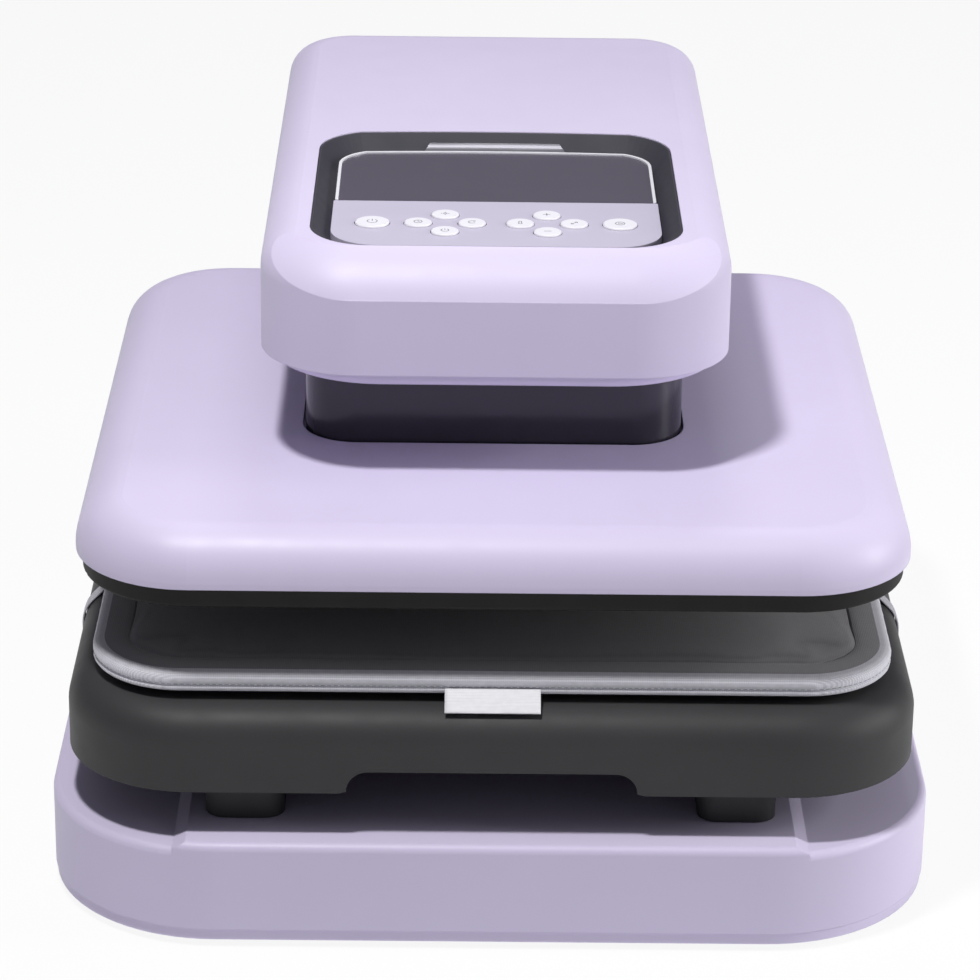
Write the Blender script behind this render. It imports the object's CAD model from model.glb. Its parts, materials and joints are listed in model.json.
"""Dressed scene of the automatic heat press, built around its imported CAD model.

Metres, in the same frame as the CAD.
"""
import json
import math
import bpy
from mathutils import Matrix, Vector


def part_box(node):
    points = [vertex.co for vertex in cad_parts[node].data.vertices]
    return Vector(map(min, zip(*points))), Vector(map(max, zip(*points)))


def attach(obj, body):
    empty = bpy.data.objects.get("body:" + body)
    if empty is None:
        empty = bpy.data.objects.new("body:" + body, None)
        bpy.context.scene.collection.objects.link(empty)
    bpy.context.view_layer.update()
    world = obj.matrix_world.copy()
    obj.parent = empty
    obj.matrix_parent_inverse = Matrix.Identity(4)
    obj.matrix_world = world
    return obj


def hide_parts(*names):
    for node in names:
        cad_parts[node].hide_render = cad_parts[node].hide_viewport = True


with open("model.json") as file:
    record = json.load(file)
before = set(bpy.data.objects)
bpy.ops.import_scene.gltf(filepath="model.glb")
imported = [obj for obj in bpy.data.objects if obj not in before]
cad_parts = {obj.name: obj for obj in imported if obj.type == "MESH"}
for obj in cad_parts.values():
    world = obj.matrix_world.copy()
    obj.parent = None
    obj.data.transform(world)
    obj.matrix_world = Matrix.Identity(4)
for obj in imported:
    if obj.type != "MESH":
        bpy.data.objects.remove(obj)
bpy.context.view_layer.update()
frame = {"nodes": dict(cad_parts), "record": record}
nodes = frame["nodes"]
scene = bpy.context.scene
MM = 0.001


# Materials

def lin(rgb):
    """Linear colour from 0-255 display values."""
    out = []
    for v in rgb:
        c = v / 255.0
        out.append(c / 12.92 if c <= 0.04045 else ((c + 0.055) / 1.055) ** 2.4)
    return (*out, 1.0)


class Nodes:
    """A material's node tree with short calls for the nodes used here."""

    def __init__(self, name):
        self.mat = bpy.data.materials.new(name)
        self.mat.use_nodes = True
        self.tree = self.mat.node_tree
        self.tree.nodes.clear()
        self.out = self.add("ShaderNodeOutputMaterial")
        self.bsdf = self.add("ShaderNodeBsdfPrincipled")
        self.link(self.bsdf.outputs["BSDF"], self.out.inputs["Surface"])
        self.coord = self.add("ShaderNodeTexCoord").outputs["Object"]

    def add(self, kind, **props):
        node = self.tree.nodes.new(kind)
        for key, value in props.items():
            setattr(node, key, value)
        return node

    def link(self, a, b):
        self.tree.links.new(a, b)

    def stretched(self, scale):
        m = self.add("ShaderNodeMapping")
        m.inputs["Scale"].default_value = scale
        self.link(self.coord, m.inputs["Vector"])
        return m.outputs["Vector"]

    def noise(self, scale, detail=3.0, rough=0.5, vector=None):
        n = self.add("ShaderNodeTexNoise")
        n.inputs["Scale"].default_value = scale
        n.inputs["Detail"].default_value = detail
        n.inputs["Roughness"].default_value = rough
        self.link(vector or self.coord, n.inputs["Vector"])
        return n.outputs["Fac"]

    def wave(self, scale, direction, distortion):
        w = self.add("ShaderNodeTexWave", wave_type="BANDS", bands_direction=direction)
        w.inputs["Scale"].default_value = scale
        w.inputs["Distortion"].default_value = distortion
        self.link(self.coord, w.inputs["Vector"])
        return w.outputs["Fac"]

    def math(self, op, a, b):
        m = self.add("ShaderNodeMath", operation=op)
        for i, v in enumerate((a, b)):
            if isinstance(v, (int, float)):
                m.inputs[i].default_value = v
            else:
                self.link(v, m.inputs[i])
        return m.outputs[0]

    def colours(self, fac, stops):
        """Colour ramp on fac. stops are (place, display colour)."""
        r = self.add("ShaderNodeValToRGB")
        while len(r.color_ramp.elements) < len(stops):
            r.color_ramp.elements.new(0.5)
        for e, (place, rgb) in zip(r.color_ramp.elements, stops):
            e.position = place
            e.color = lin(rgb)
        self.link(fac, r.inputs["Fac"])
        self.link(r.outputs["Color"], self.bsdf.inputs["Base Color"])
        return r

    def roughness(self, fac, low, high):
        m = self.add("ShaderNodeMapRange")
        m.inputs["From Min"].default_value = 0.3
        m.inputs["From Max"].default_value = 0.7
        m.inputs["To Min"].default_value = low
        m.inputs["To Max"].default_value = high
        self.link(fac, m.inputs["Value"])
        self.link(m.outputs["Result"], self.bsdf.inputs["Roughness"])

    def relief(self, height, strength, distance, edge=0.0):
        """Bump on the surface normal, over an edge softening of that radius."""
        b = self.add("ShaderNodeBump")
        b.inputs["Strength"].default_value = strength
        b.inputs["Distance"].default_value = distance
        self.link(height, b.inputs["Height"])
        if edge:
            e = self.add("ShaderNodeBevel", samples=4)
            e.inputs["Radius"].default_value = edge
            self.link(e.outputs["Normal"], b.inputs["Normal"])
        self.link(b.outputs["Normal"], self.bsdf.inputs["Normal"])

    def set(self, **values):
        for key, value in values.items():
            self.bsdf.inputs[key.replace("_", " ")].default_value = value
        return self.mat


def shade(rgb, k):
    return tuple(min(255, v * k) for v in rgb)


def moulded(name, rgb, rough, grain, strength, vary=0.02, edge=0.0006, **values):
    """Moulded plastic: slight cloudiness, fine spark-eroded grain and uneven gloss."""
    n = Nodes(name)
    n.colours(n.noise(9.0, 4.0), [(0.3, shade(rgb, 1 - vary)), (0.7, shade(rgb, 1 + vary))])
    n.roughness(n.noise(60.0, 5.0), rough - 0.035, rough + 0.035)
    n.relief(n.noise(grain, 2.0, 0.6), strength, 0.0002, edge)
    return n.set(**values)


def brushed(name, rgb, rough, along=(1, 1, 1), vary=0.06, metallic=1.0, **values):
    """Rolled or turned metal with fine drawn lines along one axis."""
    n = Nodes(name)
    lines = n.noise(700.0, 4.0, 0.6, n.stretched(along))
    n.colours(lines, [(0.25, shade(rgb, 1 - vary)), (0.75, shade(rgb, 1 + vary))])
    n.roughness(lines, rough - 0.08, rough + 0.08)
    n.relief(lines, 0.12, 0.0001, 0.0004)
    return n.set(Metallic=metallic, **values)


def weave(name, rgb, pitch, rough, strength, dark=0.72, sheen=0.25):
    """Plain woven cloth with threads of that pitch, slubs and a soft sheen."""
    n = Nodes(name)
    k = math.pi / pitch / 10.0
    warp = n.wave(k, "X", 0.4)
    weft = n.wave(k, "Y", 0.4)
    rise = n.wave(k, "Z", 0.4)
    cloth = n.math("MULTIPLY", n.math("ADD", warp, rise), weft)
    slub = n.noise(260.0, 4.0, 0.6)
    cloud = n.noise(14.0, 3.0)
    threads = n.math("MULTIPLY", cloth, 0.35)
    uneven = n.math("MULTIPLY", n.math("ADD", slub, cloud), 0.35)
    mixed = n.math("ADD", threads, uneven)
    n.colours(mixed, [(0.2, shade(rgb, dark)), (0.75, shade(rgb, 1.06))])
    n.roughness(slub, rough - 0.05, rough + 0.05)
    n.relief(n.math("ADD", cloth, slub), strength, 0.0002)
    return n.set(Sheen_Weight=sheen, Sheen_Roughness=0.5)


def board():
    """Printed circuit board: green mask with paler tracks."""
    n = Nodes("circuit_board")
    tracks = n.math("GREATER_THAN", n.wave(90.0, "X", 9.0), 0.72)
    n.colours(tracks, [(0.3, (22, 74, 46)), (0.7, (58, 118, 76))])
    n.roughness(n.noise(80.0), 0.3, 0.4)
    n.relief(tracks, 0.3, 0.0001)
    return n.mat


LAVENDER = (213, 204, 230)
MATERIALS = {
    "lavender_shell": moulded("lavender_shell", LAVENDER, 0.46, 2400.0, 0.03, 0.006, 0.0008,
                              Specular_IOR_Level=0.4),
    "dark_plastic": moulded("dark_plastic", (56, 56, 57), 0.55, 1800.0, 0.18, 0.04, 0.0008,
                            Specular_IOR_Level=0.3),
    "black_plastic": moulded("black_plastic", (36, 35, 36), 0.48, 1300.0, 0.18, 0.05),
    "gloss_black": moulded("gloss_black", (50, 47, 57), 0.16, 500.0, 0.03, 0.04),
    "rubber": moulded("rubber", (34, 34, 35), 0.78, 1800.0, 0.35, 0.08),
    "steel": brushed("steel", (196, 198, 202), 0.34, (1, 0.05, 1)),
    "zinc_steel": brushed("zinc_steel", (176, 180, 186), 0.38, (1, 0.04, 1)),
    "coated_aluminium": moulded("coated_aluminium", (76, 76, 79), 0.42, 420.0, 0.10, 0.05,
                                Metallic=0.35),
    "silver_trim": moulded("silver_trim", (238, 237, 243), 0.30, 1600.0, 0.02, 0.01, 0.0002,
                           Metallic=0.1),
    "display_lens": moulded("display_lens", (82, 77, 90), 0.22, 300.0, 0.015, 0.02, 0.0004),
    "button_plastic": moulded("button_plastic", (232, 230, 237), 0.38, 1100.0, 0.06, 0.008, 0.0003),
    "rocker_plastic": moulded("rocker_plastic", (28, 28, 30), 0.24, 900.0, 0.05, 0.04),
    "circuit_board": board(),
    "motor_paint": moulded("motor_paint", (52, 54, 58), 0.40, 500.0, 0.12, 0.05, Metallic=0.3),
    "bronze": brushed("bronze", (184, 140, 84), 0.36, (1, 1, 0.1)),
    "insulation": weave("insulation", (214, 204, 180), 0.0014, 0.85, 0.5),
    "heater_sheath": brushed("heater_sheath", (118, 98, 84), 0.45, (1, 1, 1), 0.12),
    "mat_fabric": weave("mat_fabric", (146, 144, 147), 0.0009, 0.66, 0.4, 0.82),
    "binding_fabric": weave("binding_fabric", (216, 215, 222), 0.0009, 0.62, 0.25, 0.86),
    "label_fabric": weave("label_fabric", (234, 233, 236), 0.0005, 0.62, 0.35, 0.93),
    "strap_elastic": weave("strap_elastic", (190, 189, 196), 0.0010, 0.6, 0.6, 0.8),
}
LOOKS = {
    "platen_skirt": moulded("skirt_plastic", (27, 25, 24), 0.6, 1500.0, 0.15, 0.05,
                            Specular_IOR_Level=0.25),
    "panel_bezel": moulded("bezel_plastic", (54, 53, 61), 0.42, 1800.0, 0.10, 0.03),
    "bezel_tab": moulded("satin_metal", (128, 127, 134), 0.34, 1600.0, 0.03, 0.02, 0.0002,
                         Metallic=0.7),
    "button_plate": moulded("strip_plastic", (193, 187, 206), 0.42, 2200.0, 0.03, 0.006, 0.0005),
}
THREAD = weave("sewing_thread", (148, 147, 158), 0.0004, 0.6, 0.4)
INK = moulded("icon_ink", (120, 118, 128), 0.5, 900.0, 0.05)

for part in frame["record"]["subparts"]:
    obj = nodes[part["node"]]
    obj.data.materials.clear()
    obj.data.materials.append(LOOKS.get(part["node"]) or MATERIALS[part["material_slot"]])


# Mesh pieces

def piece(name, verts, faces, material, body, smooth=True):
    """A mesh piece in the shared frame that rides on a body."""
    mesh = bpy.data.meshes.new(name)
    mesh.from_pydata(verts, [], faces)
    mesh.update()
    mesh.materials.append(material)
    if smooth:
        mesh.shade_smooth()
    obj = bpy.data.objects.new(name, mesh)
    scene.collection.objects.link(obj)
    if body:
        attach(obj, body)
    return obj


class Shape:
    """Vertices and faces gathered from rings and strips."""

    def __init__(self):
        self.verts = []
        self.faces = []

    def rings(self, rows, closed=True, caps=True):
        """Skins rows of points. Each row is a ring; caps close the first and last rows."""
        n = len(rows[0])
        base = len(self.verts)
        for row in rows:
            self.verts.extend(tuple(p) for p in row)
        for i in range(len(rows) - 1):
            for j in range(n if closed else n - 1):
                k = (j + 1) % n
                a = base + i * n
                self.faces.append((a + j, a + k, a + n + k, a + n + j))
        if caps:
            self.faces.append(tuple(base + j for j in reversed(range(n))))
            last = base + (len(rows) - 1) * n
            self.faces.append(tuple(last + j for j in range(n)))

    def loop(self, rows):
        """Skins rows of closed rings round a closed path."""
        n = len(rows[0])
        m = len(rows)
        base = len(self.verts)
        for row in rows:
            self.verts.extend(tuple(p) for p in row)
        for i in range(m):
            for j in range(n):
                a = base + i * n
                b = base + ((i + 1) % m) * n
                k = (j + 1) % n
                self.faces.append((a + j, b + j, b + k, a + k))


# Mat sizes, as in the CAD source
MAT_LOW, MAT_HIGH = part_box("mat_binding")
MAT_W = MAT_HIGH[0] - MAT_LOW[0]
MAT_Y0, MAT_Y1 = MAT_LOW[1], MAT_HIGH[1]
SEAT_Z, MAT_Z = MAT_LOW[2], MAT_HIGH[2]
PAD_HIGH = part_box("press_mat")[1]
MAT_R = 47 * MM
BINDING_W = 10 * MM


def outline(w, y0, y1, r, step):
    """Stations round a rounded rectangle, from the front left corner on.

    Each is (x, y, normal x, normal y, distance along).
    """
    out = []
    hw = w / 2
    s = 0.0
    arc = math.pi / 2 * r
    spans = [
        ((-hw + r, y0), (hw - r, y0), (0, -1), (hw - r, y0 + r), -90),
        ((hw, y0 + r), (hw, y1 - r), (1, 0), (hw - r, y1 - r), 0),
        ((hw - r, y1), (-hw + r, y1), (0, 1), (-hw + r, y1 - r), 90),
        ((-hw, y1 - r), (-hw, y0 + r), (-1, 0), (-hw + r, y0 + r), 180),
    ]
    for a, b, nrm, centre, turn in spans:
        length = math.hypot(b[0] - a[0], b[1] - a[1])
        count = max(2, round(length / step))
        for i in range(count):
            t = i / count
            x, y = a[0] + (b[0] - a[0]) * t, a[1] + (b[1] - a[1]) * t
            out.append((x, y, nrm[0], nrm[1], s + length * t))
        s += length
        count = max(6, round(arc / step))
        for i in range(count):
            ang = math.radians(turn + 90 * i / count)
            n = (math.cos(ang), math.sin(ang))
            out.append((centre[0] + r * n[0], centre[1] + r * n[1], n[0], n[1], s + arc * i / count))
        s += arc
    return out


def ripple(s, a, b, c):
    """Smooth uneven wave along a seam, between -1 and 1."""
    return (math.sin(s * 410 + a) + math.sin(s * 677 + b) + math.sin(s * 1130 + c)) / 3


SEAM_Z = SEAT_Z + 3.4 * MM
# Point of the border's section from which the cloth is that of the mat's top
TOP_FROM = 19


def make_border():
    """Edge of the mat: a band that turns over the edge down to a seam, with a round piping below it."""
    profile = [
        (-10.0, SEAT_Z), (-5.0, SEAT_Z), (-2.0, SEAT_Z + 0.05 * MM),
        (-0.9, SEAT_Z + 0.45 * MM), (-0.3, SEAT_Z + 1.1 * MM), (-0.15, SEAT_Z + 1.8 * MM),
        (-0.35, SEAM_Z - 0.7 * MM), (-0.75, SEAM_Z - 0.25 * MM), (-1.25, SEAM_Z),
        (-1.2, SEAM_Z + 0.15 * MM), (-0.65, SEAM_Z + 0.35 * MM), (-0.25, SEAM_Z + 0.9 * MM),
        (-0.05, SEAM_Z + 1.8 * MM), (0.0, SEAM_Z + 2.8 * MM), (-0.15, MAT_Z - 3.0 * MM),
        (-0.6, MAT_Z - 1.9 * MM), (-1.35, MAT_Z - 1.0 * MM), (-2.4, MAT_Z - 0.4 * MM),
        (-3.8, MAT_Z), (-6.0, MAT_Z + 0.3 * MM), (-9.0, MAT_Z + 0.45 * MM),
        (-12.0, MAT_Z + 0.45 * MM), (-15.0, MAT_Z + 0.4 * MM), (-18.0, MAT_Z + 0.2 * MM),
        (-20.0, MAT_Z - 0.4 * MM), (-19.0, MAT_Z - 2.0 * MM), (-10.6, MAT_Z - 3.0 * MM),
    ]
    path = outline(MAT_W, MAT_Y0, MAT_Y1, MAT_R, 4 * MM)
    shape = Shape()
    rows = []
    for x, y, nx, ny, s in path:
        row = []
        for i, (d, z) in enumerate(profile):
            pull = 0.0
            lift = 0.0
            if 4 <= i <= 7:
                pull = 0.10 * ripple(s, 0.3, 1.1, 2.0)
            if 7 <= i <= 11:
                lift = 0.12 * MM * ripple(s, 1.0, 2.0, 0.5)
            if 10 <= i <= 14:
                pull = 0.10 * ripple(s, 2.1, 0.4, 1.7)
            e = min(0.0, d + pull) * MM
            row.append((x + nx * e, y + ny * e, z + lift))
        rows.append(row)
    shape.loop(rows)
    obj = piece("mat_border", shape.verts, shape.faces, MATERIALS["binding_fabric"], "drawer")
    obj.data.materials.append(MATERIALS["mat_fabric"])
    for face in obj.data.polygons:
        face.material_index = 1 if face.index % len(profile) >= TOP_FROM else 0
    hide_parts("mat_binding")
    return obj


def thread_run(shape, a, b, out, radius):
    """One stitch: a thread that rises out of the cloth, lies along it and dives back in."""
    a, b, out = Vector(a), Vector(b), Vector(out)
    along = (b - a).normalized()
    side = along.cross(out).normalized()
    rows = []
    course = ((0.0, -0.5, 0.5), (0.12, 0.35, 0.95), (0.5, 0.75, 1.0), (0.88, 0.35, 0.95), (1.0, -0.5, 0.5))
    for t, rise, k in course:
        c = a.lerp(b, t) + out * (rise * radius)
        rows.append([c + (side * math.cos(q) + out * math.sin(q)) * (radius * k)
                     for q in (math.pi * i / 3 for i in range(6))])
    shape.rings(rows)


def make_stitches():
    """Row of stitches just above the mat's seam."""
    shape = Shape()
    depth = -0.42 * MM
    z = SEAM_Z + 0.75 * MM
    path = outline(MAT_W, MAT_Y0, MAT_Y1, MAT_R, 3.2 * MM)
    for i in range(len(path)):
        x, y, nx, ny = path[i][:4]
        x2, y2, nx2, ny2 = path[(i + 1) % len(path)][:4]
        a = Vector((x + nx * depth, y + ny * depth, z))
        b = Vector((x2 + nx2 * depth, y2 + ny2 * depth, z))
        thread_run(shape, a.lerp(b, 0.1), a.lerp(b, 0.85), Vector((nx, ny, 0)), 0.2 * MM)
    return piece("mat_stitches", shape.verts, shape.faces, THREAD, "drawer")


PAD_INSET = BINDING_W - 0.2 * MM
PAD_RISE = 2.4 * MM
CLOTH_FRAMES = 20


def make_pad():
    """Padded mat: a slab that is blown up as cloth, held flat where it lies on the drawer."""
    inset = PAD_INSET
    w = MAT_W - 2 * inset
    y0, y1 = MAT_Y0 + inset, MAT_Y1 - inset
    r = MAT_R - inset
    top = MAT_Z + 0.5 * MM
    levels = [
        (0.0, SEAT_Z + 0.1 * MM), (0.0, SEAT_Z + 3 * MM), (0.0, top - 2.5 * MM), (0.8, top - 1.0 * MM),
        (3.0, top - 0.2 * MM), (8.0, top),
    ]
    shape = Shape()
    path = outline(w, y0, y1, r, 8 * MM)
    rows = [[(p[0] - p[2] * d * MM, p[1] - p[3] * d * MM, z) for p in path] for d, z in levels]
    shape.rings(rows)
    obj = piece("mat_pad", shape.verts, shape.faces, MATERIALS["mat_fabric"], None)
    bpy.context.view_layer.objects.active = obj
    remesh = obj.modifiers.new("remesh", "REMESH")
    remesh.mode = "VOXEL"
    remesh.voxel_size = 4.5 * MM
    bake_modifiers(obj)
    floor = SEAT_Z + 1.2 * MM
    start = [v.co.copy() for v in obj.data.vertices]
    held = obj.vertex_groups.new(name="held")
    held.add([v.index for v in obj.data.vertices if v.co.z < floor], 1.0, "REPLACE")
    cloth = obj.modifiers.new("cloth", "CLOTH")
    cloth.settings.quality = 6
    cloth.settings.mass = 0.25
    cloth.settings.tension_stiffness = 20
    cloth.settings.compression_stiffness = 20
    cloth.settings.shear_stiffness = 8
    cloth.settings.bending_stiffness = 6.0
    cloth.settings.use_pressure = True
    cloth.settings.uniform_pressure_force = 3.0
    cloth.settings.vertex_group_mass = "held"
    cloth.settings.effector_weights.gravity = 0.0
    cloth.point_cache.frame_start = 1
    cloth.point_cache.frame_end = CLOTH_FRAMES
    for f in range(1, CLOTH_FRAMES + 1):
        scene.frame_set(f)
    bake_modifiers(obj)
    scene.frame_set(1)
    high = PAD_HIGH[2] - 0.1 * MM
    for v, c in zip(obj.data.vertices, start):
        move = v.co - c
        if move.length > PAD_RISE:
            move *= PAD_RISE / move.length
        v.co = c + move
        if c.z > top - 0.6 * MM:
            v.co.z = max(c.z, v.co.z)
        v.co.z = max(SEAT_Z + 0.05 * MM, min(high, v.co.z))
    limit_to_border(obj)
    ease = obj.modifiers.new("ease", "SMOOTH")
    ease.factor = 0.5
    ease.iterations = 4
    sub = obj.modifiers.new("smooth", "SUBSURF")
    sub.levels = 1
    sub.render_levels = 1
    bake_modifiers(obj)
    obj.data.materials.clear()
    obj.data.materials.append(MATERIALS["mat_fabric"])
    obj.data.shade_smooth()
    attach(obj, "drawer")
    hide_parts("press_mat")
    return obj


def bake_modifiers(obj):
    """Puts the mesh that an object's modifiers give in place of its mesh, and drops the modifiers."""
    graph = bpy.context.evaluated_depsgraph_get()
    mesh = bpy.data.meshes.new_from_object(obj.evaluated_get(graph))
    obj.modifiers.clear()
    obj.data = mesh


def limit_to_border(obj):
    """Keeps the pad's sides behind the sewn border."""
    edge = PAD_INSET
    hw, r = MAT_W / 2, MAT_R
    mid = (MAT_Y0 + MAT_Y1) / 2
    hd = (MAT_Y1 - MAT_Y0) / 2
    for v in obj.data.vertices:
        px, py = abs(v.co.x), abs(v.co.y - mid)
        cx, cy = hw - r, hd - r
        if px > cx and py > cy:
            reach = math.hypot(px - cx, py - cy)
            if reach > r - edge:
                k = (r - edge) / reach
                px, py = cx + (px - cx) * k, cy + (py - cy) * k
        px, py = min(px, hw - edge), min(py, hd - edge)
        v.co.x = math.copysign(px, v.co.x)
        v.co.y = mid + math.copysign(py, v.co.y - mid)


def make_label():
    """Bare sewn tag: a folded strip of woven tape with heat-cut sides."""
    low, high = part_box("mat_label")
    half_w = (high[0] - low[0]) / 2
    tilt = math.radians(55)
    length = 14 * MM
    t = 0.8 * MM
    y_top, z_top = MAT_Y0 - 0.3 * MM, SEAT_Z + 3 * MM
    along = Vector((0, -math.sin(tilt), -math.cos(tilt)))
    face = Vector((0, -math.cos(tilt), math.sin(tilt)))
    rows = []
    columns = 24
    for i in range(columns + 1):
        root = Vector((-half_w + 2 * half_w * i / columns, y_top, z_top))
        wob = 0.10 * MM * math.sin(i * 0.9) + 0.12 * MM * math.sin(i * 0.37 + 1)
        ring = []
        steps = 10
        for k in range(steps + 1):
            u = k / steps
            bow = 0.35 * MM * math.sin(math.pi * u) + wob * u * 0.5
            ring.append(root + along * (length * u * 0.97) + face * (t * 0.95 + bow))
        fold = root + along * length + face * (t * 0.5)
        ring.append(fold)
        for k in range(steps + 1):
            u = 1 - k / steps
            bow = 0.25 * MM * math.sin(math.pi * u) + wob * u * 0.5
            ring.append(root + along * (length * u * 0.97) + face * (t * 0.12 + bow))
        rows.append(ring)
    shape = Shape()
    shape.rings(rows)
    obj = piece("mat_tag", shape.verts, shape.faces, MATERIALS["label_fabric"], "drawer")
    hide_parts("mat_label")
    return obj


# Drawer sizes, as in the CAD source
DRAWER_EDGE_R = 18 * MM
DRAWER_TOP_Z = 124 * MM


def make_straps():
    """Elastic straps from the mat's sides over the drawer's shoulders, with a sewn end."""
    low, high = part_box("mat_straps")
    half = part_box("drawer_tray")[1][0]
    e = DRAWER_EDGE_R
    y0, y1 = low[1], high[1]
    z_arc = DRAWER_TOP_Z - e
    gap, t = 0.3 * MM, 1.2 * MM
    r = e + gap + t / 2
    line = []
    bend_x, bend_z = half - e + r * math.cos(math.pi / 4), z_arc + r * math.sin(math.pi / 4)
    reach = bend_x - (MAT_W / 2 + 0.5 * MM)
    for i in range(9):
        k = (8 - i) / 8 * reach
        line.append((bend_x - k, bend_z + k, 45))
    for i in range(1, 10):
        a = 45 - 5 * i
        line.append((half - e + r * math.cos(math.radians(a)), z_arc + r * math.sin(math.radians(a)), a))
    bottom = low[2]
    for i in range(1, 9):
        line.append((half - e + r, z_arc + (bottom - z_arc) * i / 8, 0))
    shape = Shape()
    for side in (-1, 1):
        rows = []
        for i, (x, z, a) in enumerate(line):
            n = (math.cos(math.radians(a)), math.sin(math.radians(a)))
            narrow = 0.25 * MM * (1 + math.sin(i * 1.7)) / 2
            thick = t * (0.5 if i < len(line) - 4 else 0.55)
            ring = []
            for k in range(20):
                q = 2 * math.pi * k / 20
                u = math.copysign(abs(math.cos(q)) ** 0.45, math.cos(q))
                v = math.copysign(abs(math.sin(q)) ** 0.45, math.sin(q))
                y = (y0 + y1) / 2 + u * ((y1 - y0) / 2 - narrow)
                ring.append((side * (x + n[0] * v * thick), y, z + n[1] * v * thick))
            rows.append(ring if side > 0 else list(reversed(ring)))
        shape.rings(rows)
    obj = piece("mat_elastic", shape.verts, shape.faces, MATERIALS["strap_elastic"], "drawer")
    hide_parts("mat_straps")
    return obj


# Signs on the buttons

def arc_points(r, a0, a1, n=18, cx=0.0, cy=0.0):
    return [(cx + r * math.cos(math.radians(a0 + (a1 - a0) * i / n)),
             cy + r * math.sin(math.radians(a0 + (a1 - a0) * i / n))) for i in range(n + 1)]


ICONS = {
    "button_power": [arc_points(2.6, 125, 415), [(0, 0.6), (0, 3.0)]],
    "button_start": [arc_points(2.4, 0, 360, 24), [(-0.8, -1.2), (1.4, 0.0), (-0.8, 1.2), (-0.8, -1.2)]],
    "button_a_up": [arc_points(0.9, 0, 360, 12), [(0, 1.5), (0, 2.2)], [(0, -1.5), (0, -2.2)],
                    [(1.5, 0), (2.2, 0)], [(-1.5, 0), (-2.2, 0)]],
    "button_a_down": [arc_points(2.0, 125, 415), [(0, 0.4), (0, 2.3)]],
    "button_a_left": [arc_points(2.1, 0, 360, 22), [(0, 1.2), (0, 0), (1.0, 0)]],
    "button_a_right": [arc_points(1.9, 40, 320), [(1.5, 2.2), (1.5, 1.2), (0.5, 1.2)]],
    "button_b_up": [[(-1.9, 0), (1.9, 0)], [(0, -1.9), (0, 1.9)]],
    "button_b_down": [[(-1.9, 0), (1.9, 0)]],
    "button_b_left": [arc_points(1.0, 130, 410, 16, 0, -1.2),
                      [(-0.62, -0.4), (-0.62, 2.2), (0.62, 2.2), (0.62, -0.4)]],
    "button_b_right": [[(-1.6, -1.6), (1.6, 1.6)], [(0.2, 1.6), (1.6, 1.6), (1.6, 0.2)],
                       [(-0.2, -1.6), (-1.6, -1.6), (-1.6, -0.2)]],
}


def make_icon(node, strokes):
    """Printed sign on a push button: a thin raised line of ink."""
    low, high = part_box(node)
    cx, cy = (low[0] + high[0]) / 2, (low[1] + high[1]) / 2
    z0, z1 = high[2] - 0.05 * MM, high[2] + 0.05 * MM
    half = 0.24
    shape = Shape()
    for stroke in strokes:
        rows = []
        n = len(stroke)
        shut = math.dist(stroke[0], stroke[-1]) < 1e-6
        for i, (x, y) in enumerate(stroke):
            a = stroke[i - 1] if i else (stroke[-2] if shut else stroke[0])
            b = stroke[i + 1] if i < n - 1 else (stroke[1] if shut else stroke[-1])
            dx, dy = b[0] - a[0], b[1] - a[1]
            k = half / math.hypot(dx, dy)
            px, py = -dy * k, dx * k
            corners = [(x + px, y + py, z0), (x - px, y - py, z0), (x - px * 0.8, y - py * 0.8, z1),
                       (x + px * 0.8, y + py * 0.8, z1)]
            rows.append([(cx + u * MM, cy + v * MM, w) for u, v, w in corners])
        if shut:
            shape.loop(rows[:-1])
        else:
            shape.rings(rows)
    return piece(node + "_icon", shape.verts, shape.faces, INK, node + "_body",
                 smooth=False)


make_pad()
make_border()
make_stitches()
make_label()
make_straps()
for node, strokes in ICONS.items():
    make_icon(node, strokes)


# Floor, light and camera

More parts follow.
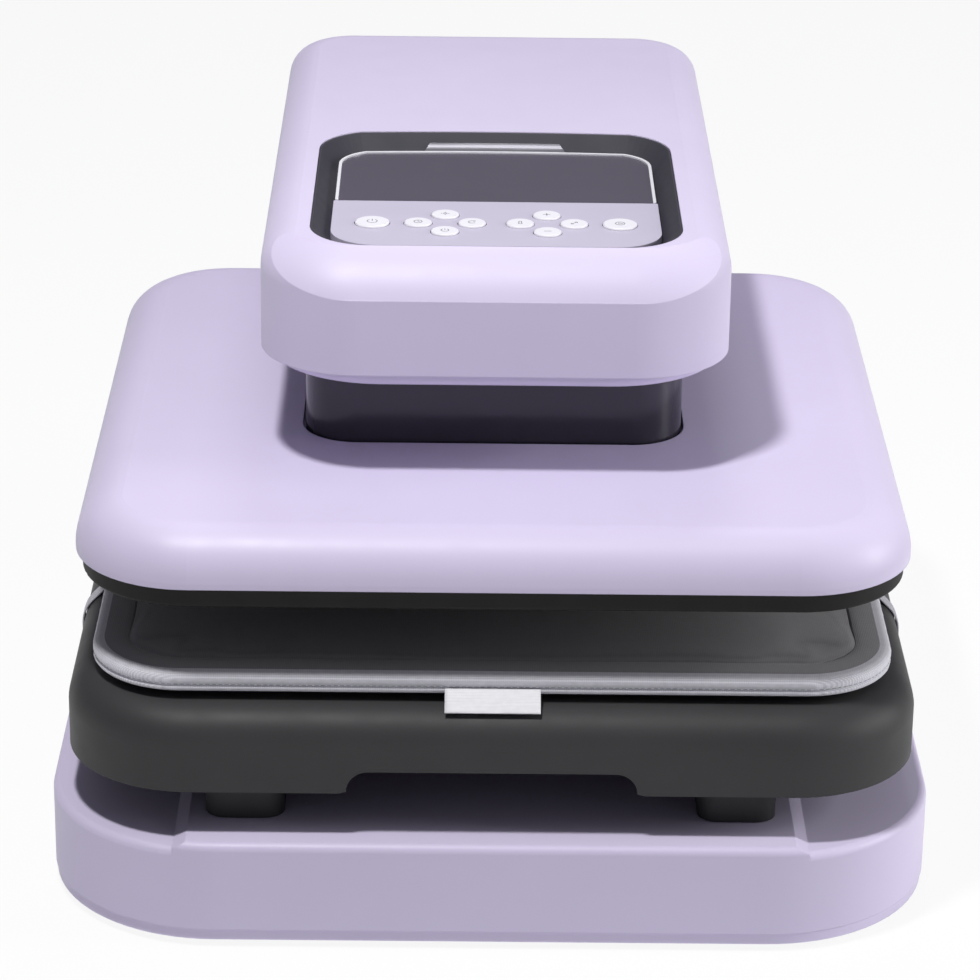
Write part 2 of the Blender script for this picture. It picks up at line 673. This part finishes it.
def make_floor():
    n = Nodes("floor_white")
    n.colours(n.noise(3.0), [(0.3, (243, 243, 244)), (0.7, (246, 246, 247))])
    n.set(Roughness=0.9, Specular_IOR_Level=0.1)
    glow = n.add("ShaderNodeEmission")
    path = n.add("ShaderNodeLightPath")
    mix = n.add("ShaderNodeMixShader")
    seen = n.math("MAXIMUM", path.outputs["Is Camera Ray"],
                  n.math("MAXIMUM", path.outputs["Is Glossy Ray"], path.outputs["Is Transmission Ray"]))
    n.link(n.math("MULTIPLY", seen, 0.9), mix.inputs["Fac"])
    n.link(n.bsdf.outputs["BSDF"], mix.inputs[1])
    n.link(glow.outputs["Emission"], mix.inputs[2])
    n.link(mix.outputs["Shader"], n.out.inputs["Surface"])
    size = 100.0
    corners = [(-size, -size, 0), (size, -size, 0), (size, size, 0), (-size, size, 0)]
    obj = piece("floor", corners, [(0, 1, 2, 3)], n.mat, None, smooth=False)


def make_world():
    world = bpy.data.worlds.new("studio")
    scene.world = world
    world.use_nodes = True
    sky = world.node_tree.nodes["Background"]
    sky.inputs["Color"].default_value = (0.94, 0.93, 1.05, 1.0)
    sky.inputs["Strength"].default_value = 0.18


def make_lamp(name, place, aim, size, power):
    lamp = bpy.data.lights.new(name, "AREA")
    lamp.shape = "RECTANGLE"
    lamp.size, lamp.size_y = size
    lamp.energy = power
    obj = bpy.data.objects.new(name, lamp)
    scene.collection.objects.link(obj)
    obj.location = place
    obj.rotation_euler = (Vector(aim) - Vector(place)).to_track_quat("-Z", "Y").to_euler()


make_floor()
make_world()
make_lamp("key", (-0.27, -0.48, 1.50), (0.0, -0.05, 0.2), (0.12, 0.12), 15.0)
make_lamp("right_fill", (1.7, -0.3, 0.75), (0.0, 0.0, 0.2), (0.6, 0.8), 16.8)
make_lamp("rear_top", (0.1, 1.1, 1.7), (0.0, 0.1, 0.3), (0.5, 0.3), 4.3)

camera = bpy.data.cameras.new("camera")
camera.sensor_width = 36.0
camera.lens = 139.7
camera.clip_end = 300.0
eye = bpy.data.objects.new("camera", camera)
scene.collection.objects.link(eye)
EYE_PLACE = (-0.018, -1.955, 0.952)
EYE_PAN, EYE_TILT, EYE_ROLL = math.radians(-0.51), math.radians(67.5), math.radians(0.764)
eye.matrix_world = (Matrix.Translation(EYE_PLACE) @ Matrix.Rotation(EYE_PAN, 4, "Z")
                    @ Matrix.Rotation(EYE_TILT, 4, "X") @ Matrix.Rotation(EYE_ROLL, 4, "Z"))
scene.camera = eye
scene.view_settings.view_transform = "Standard"
